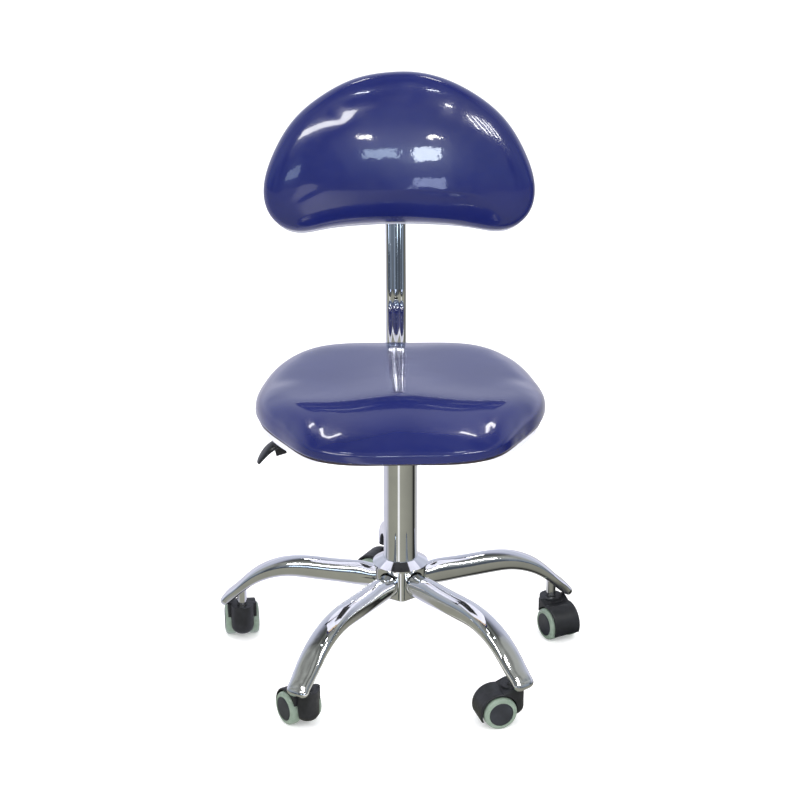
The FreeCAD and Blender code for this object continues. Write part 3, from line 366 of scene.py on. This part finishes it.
def filled(loop, side):
    """A grid of (side + 1)^2 points filling a closed line of 4 * side points: an evened-out Coons patch."""
    s = np.linspace(0, 1, side + 1)
    bottom = loop[0 : side + 1]
    right = loop[side : 2 * side + 1]
    top = loop[2 * side : 3 * side + 1][::-1]
    left = np.vstack([loop[3 * side :], loop[:1]])[::-1]
    u, v = np.meshgrid(s, s)
    u, v = u[..., None], v[..., None]
    ruled_v = (1 - v) * bottom[None, :, :] + v * top[None, :, :]
    ruled_u = (1 - u) * left[:, None, :] + u * right[:, None, :]
    corners = (
        (1 - u) * (1 - v) * loop[0]
        + u * (1 - v) * loop[side]
        + u * v * loop[2 * side]
        + (1 - u) * v * loop[3 * side]
    )
    grid = ruled_u + ruled_v - corners
    for _ in range(GRID_EASING):
        inner = (grid[:-2, 1:-1] + grid[2:, 1:-1] + grid[1:-1, :-2] + grid[1:-1, 2:]) / 4
        grid[1:-1, 1:-1] = inner
    return grid


def grid_rim(side):
    """The (row, column) of a grid's edge points, in the order of the closed line that it fills."""
    rim = [(0, i) for i in range(side)] + [(i, side) for i in range(side)]
    return rim + [(side, side - i) for i in range(side)] + [(side - i, 0) for i in range(side)]


# ---------------------------------------------------------------- pads

RIM_EASING = 40  # smoothing rounds of the directions into the face, so that the rolled edge doesn't fold
ROLL_RINGS = 11  # rings of quads over the rolled edge
UNDER_RINGS = 4  # rings of quads round the lower roll
FADE_RINGS = 8  # rings over which the smoothing of the face fades out
UPRIGHT_LEAST = 0.003  # a side lower than this has no upright ring of its own
UNDERSIDE_INSET = 0.004  # how far inside the lower roll the flat underside starts
SHOULDER_POWER = 2.1  # squareness of the rolled edge's height, 2 for a round one
PROFILE_POINTS = 400  # points along the rolled edge's curve, from which evenly spaced ones are picked
PROFILE_HEIGHT = 0.7  # the rolled edge's height over its depth inwards, for that spacing
FACE_EASING = 24  # passes of the Smooth modifier over the face
STUFFING_FRAMES = 20
STUFFING_PRESSURE = 3.0
STUFFING_CAP = 0.003  # no point of a pad moves further than this when it is blown up


def roll_profile(steps, power):
    """The (share inwards, share of height) of an edge rolling over from the face, evenly spaced."""
    turn = np.linspace(0, math.pi / 2, PROFILE_POINTS)
    inward_share = 1 - np.sin(turn) ** (2 / power)
    height_share = np.cos(turn) ** (2 / SHOULDER_POWER)
    lengths = np.hypot(np.diff(inward_share), PROFILE_HEIGHT * np.diff(height_share))
    along = np.concatenate([[0], np.cumsum(lengths)])
    wanted = np.linspace(0, along[-1], steps + 1)[1:]
    shares = np.interp(wanted, along, inward_share), np.interp(wanted, along, height_share)
    return list(zip(*shares))


def pad_mesh(name, loop, axes, crown, roll, power, low, base, under):
    """A closed upholstered pad.

    loop is its outline in the plane of axes and crown(u, v) the height of its face. roll is how far in the
    edge starts to roll over at each point and power how squarely it does. low is the height where the pad is
    widest, base its underside and under the radius of the lower roll.
    """
    side = len(loop) // 4
    points, faces, held = [], [], []
    rim_in = eased(inward(loop), RIM_EASING)

    def add(uv, w):
        points.append(axes["origin"] + axes["across"] * uv[0] + axes["up"] * uv[1] + axes["out"] * w)
        return len(points) - 1

    def add_grid(inset, height, flip):
        grid = filled(loop + rim_in * np.reshape(inset, (-1, 1)), side)
        ids = [[add(grid[i, j], height(*grid[i, j])) for j in range(side + 1)] for i in range(side + 1)]
        for i in range(side):
            for j in range(side):
                quad = (ids[i][j], ids[i][j + 1], ids[i + 1][j + 1], ids[i + 1][j])
                faces.append(quad[::-1] if flip else quad)
        return [ids[i][j] for i, j in grid_rim(side)], ids

    last, ids = add_grid(roll, crown, False)
    crowned = [([i for row in ids for i in row], 1.0)]
    rings = []
    for inward_share, height_share in roll_profile(ROLL_RINGS, power):
        spots = loop + rim_in * (roll * inward_share)[:, None]
        rings.append([(uv, low + (crown(*uv) - low) * height_share) for uv in spots])
    if low - under - base > UPRIGHT_LEAST:
        rings.append([(uv, base + under) for uv in loop])
    for k in range(1, UNDER_RINGS + 1):
        turn = math.pi / 2 * k / UNDER_RINGS
        spots = loop + rim_in * under * (1 - math.cos(turn))
        rings.append([(uv, base + under * (1 - math.sin(turn))) for uv in spots])
    for number, ring in enumerate(rings):
        ids = [add(uv, w) for uv, w in ring]
        crowned.append((ids, max(0.0, 1 - (number + 1) / FADE_RINGS)))
        for i in range(len(ids)):
            j = (i + 1) % len(ids)
            faces.append((last[i], ids[i], ids[j], last[j]))
        last = ids
    held += last
    rim, ids = add_grid(under + UNDERSIDE_INSET, lambda u, v: base, True)
    held += [i for row in ids for i in row]
    for i in range(len(rim)):
        j = (i + 1) % len(rim)
        faces.append((last[i], rim[i], rim[j], last[j]))
    piece = skin(name, points, faces)
    piece.vertex_groups.new(name="held").add(held, 1.0, "REPLACE")
    face = piece.vertex_groups.new(name="crowned")
    for ids, weight in crowned:
        face.add(ids, weight, "REPLACE")
    return piece


def skin(name, points, faces):
    """A smooth-shaded object from points and faces."""
    mesh = bpy.data.meshes.new(name)
    mesh.from_pydata([tuple(p) for p in points], [], faces)
    mesh.validate()
    mesh.shade_smooth()
    piece = bpy.data.objects.new(name, mesh)
    scene.collection.objects.link(piece)
    return piece


def stuff(piece):
    """Blows a pad up a little against its cover with Blender's Cloth, its underside held."""
    rest = np.empty(len(piece.data.vertices) * 3)
    piece.data.vertices.foreach_get("co", rest)
    cloth = piece.modifiers.new("stuffing", "CLOTH")
    cloth.settings.quality = 6
    cloth.settings.mass = 0.4
    cloth.settings.tension_stiffness = 22
    cloth.settings.compression_stiffness = 22
    cloth.settings.shear_stiffness = 10
    cloth.settings.bending_stiffness = 4
    cloth.settings.vertex_group_mass = "held"
    cloth.settings.use_pressure = True
    cloth.settings.uniform_pressure_force = STUFFING_PRESSURE
    cloth.settings.effector_weights.gravity = 0
    cloth.collision_settings.use_collision = False
    for number in range(1, STUFFING_FRAMES + 1):
        scene.frame_set(number)
    shape = piece.evaluated_get(bpy.context.evaluated_depsgraph_get()).data
    blown = np.empty(len(rest))
    shape.vertices.foreach_get("co", blown)
    piece.modifiers.remove(cloth)
    scene.frame_set(1)
    move = (blown - rest).reshape(-1, 3)
    reach = np.linalg.norm(move, axis=1, keepdims=True)
    move = move * STUFFING_CAP / (STUFFING_CAP + reach)
    piece.data.vertices.foreach_set("co", (rest.reshape(-1, 3) + move).ravel())
    piece.data.update()


def subdivide(piece):
    """Smooths a pad's face, then rounds the whole pad."""
    easing = piece.modifiers.new("easing", "SMOOTH")
    easing.factor = 0.5
    easing.iterations = FACE_EASING
    easing.vertex_group = "crowned"
    rounding = piece.modifiers.new("rounding", "SUBSURF")
    rounding.levels = 1
    rounding.render_levels = 1


def bead(name, centres, radius, sides=10):
    """A closed bead round a line of points."""
    points, faces = [], []
    count = len(centres)
    for i, centre in enumerate(centres):
        along = (centres[(i + 1) % count] - centres[i - 1]).normalized()
        first = along.orthogonal().normalized()
        if i:
            first = (before - along * before.dot(along)).normalized()
        before = first
        second = along.cross(first)
        for k in range(sides):
            turn = 2 * math.pi * k / sides
            points.append(centre + (first * math.cos(turn) + second * math.sin(turn)) * radius)
    for i in range(count):
        for k in range(sides):
            a, b = i * sides, ((i + 1) % count) * sides
            n = (k + 1) % sides
            faces.append((a + k, b + k, b + n, a + n))
    return skin(name, points, faces)


def finish_piece(piece, body, material):
    piece.data.materials.append(material)
    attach(piece, body)


def finish_pad(piece, body, node):
    """Stuffs a pad and puts it in the place of a CAD cushion."""
    stuff(piece)
    subdivide(piece)
    finish_piece(piece, body, FINISHES["upholstery"])
    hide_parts(node)


def hill(value, centre, width):
    """A smooth hump, 1 high at its centre."""
    return math.exp(-(((value - centre) / width) ** 2))


# the welts' brown-black is painted shade: a dark line where each pad meets what is under it
TURNED_EDGE_SHADE = welt_shade_vinyl()

# ---------------------------------------------------------------- seat

SEAT_CUT = 0.014  # height above the CAD cushion's underside where its outline is taken
SEAT_FIRST = math.radians(-135)  # direction of the outline's first point
SEAT_STANDS_OUT = 0.0030  # how far the pad stands out past that outline
SEAT_ROLL = 0.042  # how far in the edge starts to roll over, less at the front and rear
SEAT_ROLL_LESS_FRONT = 0.008
SEAT_ROLL_LESS_REAR = 0.018
SEAT_ROLL_EASING = 10
SEAT_SQUARENESS = 2.1
SEAT_LOWER_ROLL = 0.006
SEAT_WIDEST = 0.010  # heights from the CAD cushion's underside
SEAT_BASE = -0.002
SEAT_WELT_HEIGHT = -0.0026
SEAT_WELT_INSET = 0.006
SEAT_WELT_RADIUS = 0.0020
SEAT_RISE = 0.002  # height of the pad's face above the CAD cushion's top, before what follows
SIDE_FALL = 0.0060  # fall of the face at SIDE_REACH from the middle
SIDE_REACH = 0.19
RIDGE = 0.0042  # height of the ridge along the middle of the seat
RIDGE_WIDTH = 0.054
RIDGE_PLACE = -0.055  # y of the ridge's highest point, and how far it reaches in front of and behind it
RIDGE_LENGTH = 0.105
HOLLOW = 0.0025  # depth of the two thigh hollows
HOLLOW_OUT = 0.105  # their distance from the middle
HOLLOW_WIDTH = 0.055
HOLLOW_PLACE = -0.03
HOLLOW_LENGTH = 0.11
# how steeply the seat falls towards the front, in degrees, against the distance in front of the column
FALL_SLOPES = (
    (-0.20, 0.0),
    (-0.03, 0.0),
    (0.066, -2.6),
    (0.112, 9.0),
    (0.134, 12.0),
    (0.160, 14.5),
    (0.21, 18.0),
)

seat_low, seat_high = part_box("seat_cushion")
seat_axes = {
    "origin": Vector((0, 0, 0)),
    "across": Vector((1, 0, 0)),
    "up": Vector((0, 1, 0)),
    "out": Vector((0, 0, 1)),
}
seat_cut = cut_outline("seat_cushion", Vector((0, 0, seat_low.z + SEAT_CUT)), Vector((0, 0, 1)))
seat_loop = even_loop([(p.x, p.y) for p in seat_cut], ROUND_COUNT, SEAT_FIRST)
seat_loop -= inward(seat_loop) * SEAT_STANDS_OUT
facing_rear = -inward(seat_loop)[:, 1]
roll_front = SEAT_ROLL_LESS_FRONT * np.clip(-facing_rear, 0, 1) ** 2
roll_rear = SEAT_ROLL_LESS_REAR * np.clip(facing_rear, 0, 1) ** 2
seat_roll = eased(SEAT_ROLL - roll_front - roll_rear, SEAT_ROLL_EASING)

# the fall itself, added up millimetre by millimetre from 200 mm behind the column to 200 mm in front of it
fall_runs = np.linspace(-0.20, 0.20, 401)
fall_slopes = np.interp(fall_runs, *zip(*FALL_SLOPES))
fall_depths = np.cumsum(np.tan(np.radians(fall_slopes))) * (fall_runs[1] - fall_runs[0])


def seat_crown(x, y):
    """The seat's face: level behind, falling over the front, with a low ridge between two thigh hollows."""
    fall = float(np.interp(-y, fall_runs, fall_depths))
    sides = SIDE_FALL * (x / SIDE_REACH) ** 2
    ridge = RIDGE * hill(x, 0.0, RIDGE_WIDTH) * hill(y, RIDGE_PLACE, RIDGE_LENGTH)
    hollows = HOLLOW * hill(abs(x), HOLLOW_OUT, HOLLOW_WIDTH) * hill(y, HOLLOW_PLACE, HOLLOW_LENGTH)
    return seat_high.z + SEAT_RISE - fall - sides + ridge - hollows


seat_pad = pad_mesh(
    "seat_pad",
    seat_loop,
    seat_axes,
    seat_crown,
    seat_roll,
    power=SEAT_SQUARENESS,
    low=seat_low.z + SEAT_WIDEST,
    base=seat_low.z + SEAT_BASE,
    under=SEAT_LOWER_ROLL,
)
finish_pad(seat_pad, "seat", "seat_cushion")

seat_welt_loop = seat_loop + inward(seat_loop) * SEAT_WELT_INSET
seat_welt_line = [Vector((x, y, seat_low.z + SEAT_WELT_HEIGHT)) for x, y in seat_welt_loop]
seat_welt = bead("seat_welt", seat_welt_line, SEAT_WELT_RADIUS)
finish_piece(seat_welt, "seat", TURNED_EDGE_SHADE)

# ---------------------------------------------------------------- backrest

BACK_CUT = 0.020  # distance in front of the CAD cushion's rear where its outline is taken
BACK_FIRST = math.radians(-160)
BACK_STANDS_OUT = 0.0012
BACK_ROLL = 0.052
BACK_SQUARENESS = 2.5
BACK_LOWER_ROLL = 0.008
BACK_WIDEST = 0.015  # distance in front of the cushion's rear
BACK_RISE = 0.006  # how far the middle of the pad's face stands out in front of the CAD cushion's
BACK_DOME_ACROSS = 0.010  # how far the face falls back at the sides, in two terms, the second steeper
BACK_DOME_SIDES = 0.004
BACK_DOME_UP = 0.010  # how far it falls back at the top and bottom
BACK_WELT_INSET = 0.005
BACK_WELT_RADIUS = 0.0016

lean = Vector(next(j for j in frame["joints"] if j["name"] == "back_height")["axis"]).normalized()
back_out = Vector((1, 0, 0)).cross(lean)
back_points = np.array([v.co for v in frame["nodes"]["back_cushion"].data.vertices], float)
depths = back_points @ np.array(back_out)
back_front, back_rear = depths.max(), depths.min()
back_axes = {
    "origin": back_out * back_rear,
    "across": Vector((1, 0, 0)),
    "up": lean,
    "out": back_out,
}
back_cut = cut_outline("back_cushion", back_out * (back_rear + BACK_CUT), back_out)
back_loop = even_loop([(p.x, p.dot(lean)) for p in back_cut], ROUND_COUNT, BACK_FIRST)
back_loop -= inward(back_loop) * BACK_STANDS_OUT
back_middle = (back_loop.min(0) + back_loop.max(0)) / 2
back_half = (back_loop.max(0) - back_loop.min(0)) / 2
back_thick = back_front - back_rear


def back_crown(x, v):
    """The backrest's face: domed both ways."""
    a = (x - back_middle[0]) / back_half[0]
    b = (v - back_middle[1]) / back_half[1]
    across = BACK_DOME_ACROSS * a**2
    return back_thick + BACK_RISE - across - BACK_DOME_SIDES * a**4 - BACK_DOME_UP * b**2


back_roll = np.full(ROUND_COUNT, BACK_ROLL)
back_pad = pad_mesh(
    "back_pad",
    back_loop,
    back_axes,
    back_crown,
    back_roll,
    power=BACK_SQUARENESS,
    low=BACK_WIDEST,
    base=0.0,
    under=BACK_LOWER_ROLL,
)
finish_pad(back_pad, "back", "back_cushion")

back_welt_loop = back_loop + inward(back_loop) * BACK_WELT_INSET
back_welt_line = [back_axes["origin"] + lean * v + Vector((x, 0, 0)) for x, v in back_welt_loop]
back_welt = bead("back_welt", back_welt_line, BACK_WELT_RADIUS)
finish_piece(back_welt, "back", TURNED_EDGE_SHADE)


# ---------------------------------------------------------------- studio

FLOOR_HALF = 30
# painted reflection: the tones polished faces see in place of the floor, against the bearing: 0 behind, 0.25
# at -X, 0.5 in front, 0.75 at +X
PAINTED_FLOOR_REFLECTION = (
    (0.0, (0.75, 0.75, 0.86)),
    (0.2, (0.62, 0.62, 0.72)),
    (0.27, (0.30, 0.30, 0.25)),
    (0.44, (0.33, 0.33, 0.27)),
    (0.455, (1.0, 1.0, 1.0)),
    (0.475, (1.0, 1.0, 1.0)),
    (0.49, (0.36, 0.36, 0.30)),
    (0.72, (0.24, 0.24, 0.20)),
    (0.77, (0.02, 0.02, 0.02)),
    (0.80, (0.02, 0.02, 0.02)),
    (0.83, (0.45, 0.45, 0.42)),
    (1.0, (0.75, 0.75, 0.86)),
)
# painted reflection: the tones polished faces see of a wall behind the stool, against the height of the
# direction: 0 at the horizon and 1 overhead
PAINTED_WALL_REFLECTION = (
    (0.0, (0.62, 0.62, 0.74)),
    (0.15, (0.80, 0.82, 0.96)),
    (0.34, (0.56, 0.59, 0.70)),
    (0.55, (0.60, 0.63, 0.74)),
    (0.74, (0.48, 0.50, 0.62)),
    (0.84, (0.20, 0.21, 0.26)),
    (0.92, (0.07, 0.08, 0.08)),
    (1.0, (0.13, 0.14, 0.13)),
)
# painted reflection of a dim room before the stool, against the same height, made patchy below
PAINTED_ROOM_REFLECTION = (
    (0.0, (0.12, 0.12, 0.11)),
    (0.08, (0.16, 0.20, 0.26)),
    (0.35, (0.23, 0.26, 0.29)),
    (0.60, (0.30, 0.31, 0.29)),
    (0.85, (0.26, 0.27, 0.25)),
    (1.0, (0.13, 0.14, 0.13)),
)


def floor():
    """A plain pale floor, wide enough to fill every view. Polished faces see a painted reflection in its
    place: glowing dark and light wedges round the stool.
    """
    mesh = bpy.data.meshes.new("floor")
    corners = [(x * FLOOR_HALF, y * FLOOR_HALF, 0) for x, y in ((-1, -1), (1, -1), (1, 1), (-1, 1))]
    mesh.from_pydata(corners, [], [(0, 1, 2, 3)])
    piece = bpy.data.objects.new("floor", mesh)
    scene.collection.objects.link(piece)
    s = Shade("pale_floor")
    tone = s.ramp(s.noise(3, 3), (0.3, (0.90, 0.90, 0.905)), (0.7, (0.92, 0.92, 0.92)))
    s.set(Base_Color=tone, Roughness=0.7, Specular_IOR_Level=0.1)
    s.set(Emission_Color=(1, 1, 1, 1), Emission_Strength=0.28)
    spot = s.split(s.place)
    bearing = s.maths("ARCTAN2", spot["X"], s.maths("MULTIPLY", spot["Y"], -1.0))
    painted_floor_tint = s.ramp(s.span(bearing, 0.0, 1.0, -math.pi, math.pi), *PAINTED_FLOOR_REFLECTION)
    # painted reflection: a glow that only glossy rays see, in wedges by bearing
    painted_reflection = s.node("ShaderNodeEmission", Color=painted_floor_tint, Strength=1.0)
    surface = s.mirrored(s.shader.outputs[0], painted_reflection.outputs[0])
    s.feed(s.tree.nodes["Material Output"].inputs["Surface"], surface)
    mesh.materials.append(s.material)


def room_light():
    """Even light all round. Polished faces see a painted reflection in its place: a pale wall behind the
    stool and a dim room before it.
    """
    world = bpy.data.worlds.new("room")
    scene.world = world
    world.use_nodes = True
    sky = Nodes(world.node_tree)
    even = sky.tree.nodes["Background"]
    even.inputs["Color"].default_value = (0.98, 0.98, 1.0, 1.0)
    even.inputs["Strength"].default_value = 1.0
    direction = sky.node("ShaderNodeTexCoord").outputs["Generated"]
    aim = sky.split(direction)
    wall = sky.ramp(aim["Z"], *PAINTED_WALL_REFLECTION)
    room = sky.ramp(aim["Z"], *PAINTED_ROOM_REFLECTION)
    squash = sky.node("ShaderNodeMapping", Vector=direction)
    squash.inputs["Scale"].default_value = (1.0, 1.0, 0.35)
    patches = sky.node("ShaderNodeTexNoise", Vector=squash.outputs["Vector"], Scale=2.6, Detail=2.0)
    uneven = sky.node("ShaderNodeVectorMath", {"operation": "SCALE"})
    sky.feed(uneven.inputs[0], room)
    sky.feed(uneven.inputs["Scale"], sky.span(patches.outputs["Fac"], 0.35, 1.35, 0.40, 0.60))
    behind = sky.span(aim["Y"], 0.0, 1.0, 0.05, 0.40)
    painted_surroundings = sky.mix(behind, uneven.outputs["Vector"], wall)
    # painted reflection: only glossy rays see these tones, everything else gets the even light
    painted_reflection = sky.node("ShaderNodeBackground", Color=painted_surroundings)
    surface = sky.mirrored(even.outputs[0], painted_reflection.outputs[0])
    sky.feed(sky.tree.nodes["World Output"].inputs["Surface"], surface)


def lamp(name, place, target, size, power, colour=(1, 1, 1), mirrored=True):
    """A rectangular area light at place, facing target. Polished faces see it if it is mirrored."""
    data = bpy.data.lights.new(name, "AREA")
    data.shape = "RECTANGLE"
    data.size, data.size_y = size
    data.energy = power
    data.color = colour
    lit = bpy.data.objects.new(name, data)
    scene.collection.objects.link(lit)
    lit.location = place
    lit.rotation_euler = (Vector(target) - Vector(place)).to_track_quat("-Z", "Y").to_euler()
    lit.visible_camera = False
    lit.visible_glossy = mirrored


floor()
room_light()

BLIND_COUNT = 5  # upright lit strips to the right, as between a blind's slats
BLIND_SPACING = 0.22
MIDDLE = (0, 0, 0.5)
BACKREST = (0, 0.2, 0.7)
COOL = (0.9, 0.95, 1.0)
WARM = (1.0, 0.98, 0.95)
WARMER = (1, 0.97, 0.90)
DAYLIGHT = (0.66, 0.82, 1.0)
lamp("ceiling", (0, 0.3, 3.2), (0, 0, 0), (2.6, 2.6), 46, mirrored=False)
lamp("strip_left", (-0.55, -0.95, 2.9), MIDDLE, (0.36, 0.07), 2.2, COOL)
lamp("strip_right", (0.62, -0.95, 2.9), MIDDLE, (0.36, 0.07), 2.2, COOL)
lamp("softbox_left", (-1.45, -2.2, 2.5), BACKREST, (1.9, 0.40), 30, (1.0, 0.99, 0.97))
lamp("rear_left", (-0.66, 1.3, 2.9), MIDDLE, (0.45, 0.12), 2.4, WARM)
lamp("rear_right", (0.70, 1.3, 2.9), MIDDLE, (0.45, 0.12), 2.4, WARM)
for strip in range(BLIND_COUNT):
    shift = BLIND_SPACING * strip
    lamp(f"blind_{strip}", (1.28 + shift, -2.50 + shift, 2.64 - 0.2 * shift), BACKREST, (0.07, 0.8), 6.0)
lamp("spot_left", (-0.24, -3.9, 1.82), MIDDLE, (0.16, 0.09), 1.6, WARMER)
lamp("spot_right", (0.46, -3.9, 1.82), MIDDLE, (0.14, 0.08), 1.4, WARMER)
lamp("window_left", (-0.10, -4.6, 1.58), MIDDLE, (0.42, 0.20), 2.2, DAYLIGHT)
lamp("window_right", (0.43, -4.6, 1.56), MIDDLE, (0.30, 0.30), 5.5, (0.8, 0.9, 1.0))
lamp("window_low", (0.44, -4.6, 0.88), MIDDLE, (0.34, 0.24), 1.6, (0.62, 0.72, 1.0))
lamp("window_far", (-2.3, -4.0, 1.35), MIDDLE, (1.2, 0.40), 4.0, DAYLIGHT)

# ---------------------------------------------------------------- camera

# the view from the front, above the backrest's height, with a long lens
camera_data = bpy.data.cameras.new("camera")
camera_data.lens = 109.07
camera_data.sensor_width = 36
camera = bpy.data.objects.new("camera", camera_data)
scene.collection.objects.link(camera)
camera.location = (-0.087, -3.2989, 1.735)
camera.rotation_euler = (math.radians(68.32), 0, math.radians(-1.5))
scene.camera = camera
scene.view_settings.view_transform = "Standard"
scene.view_settings.look = "None"
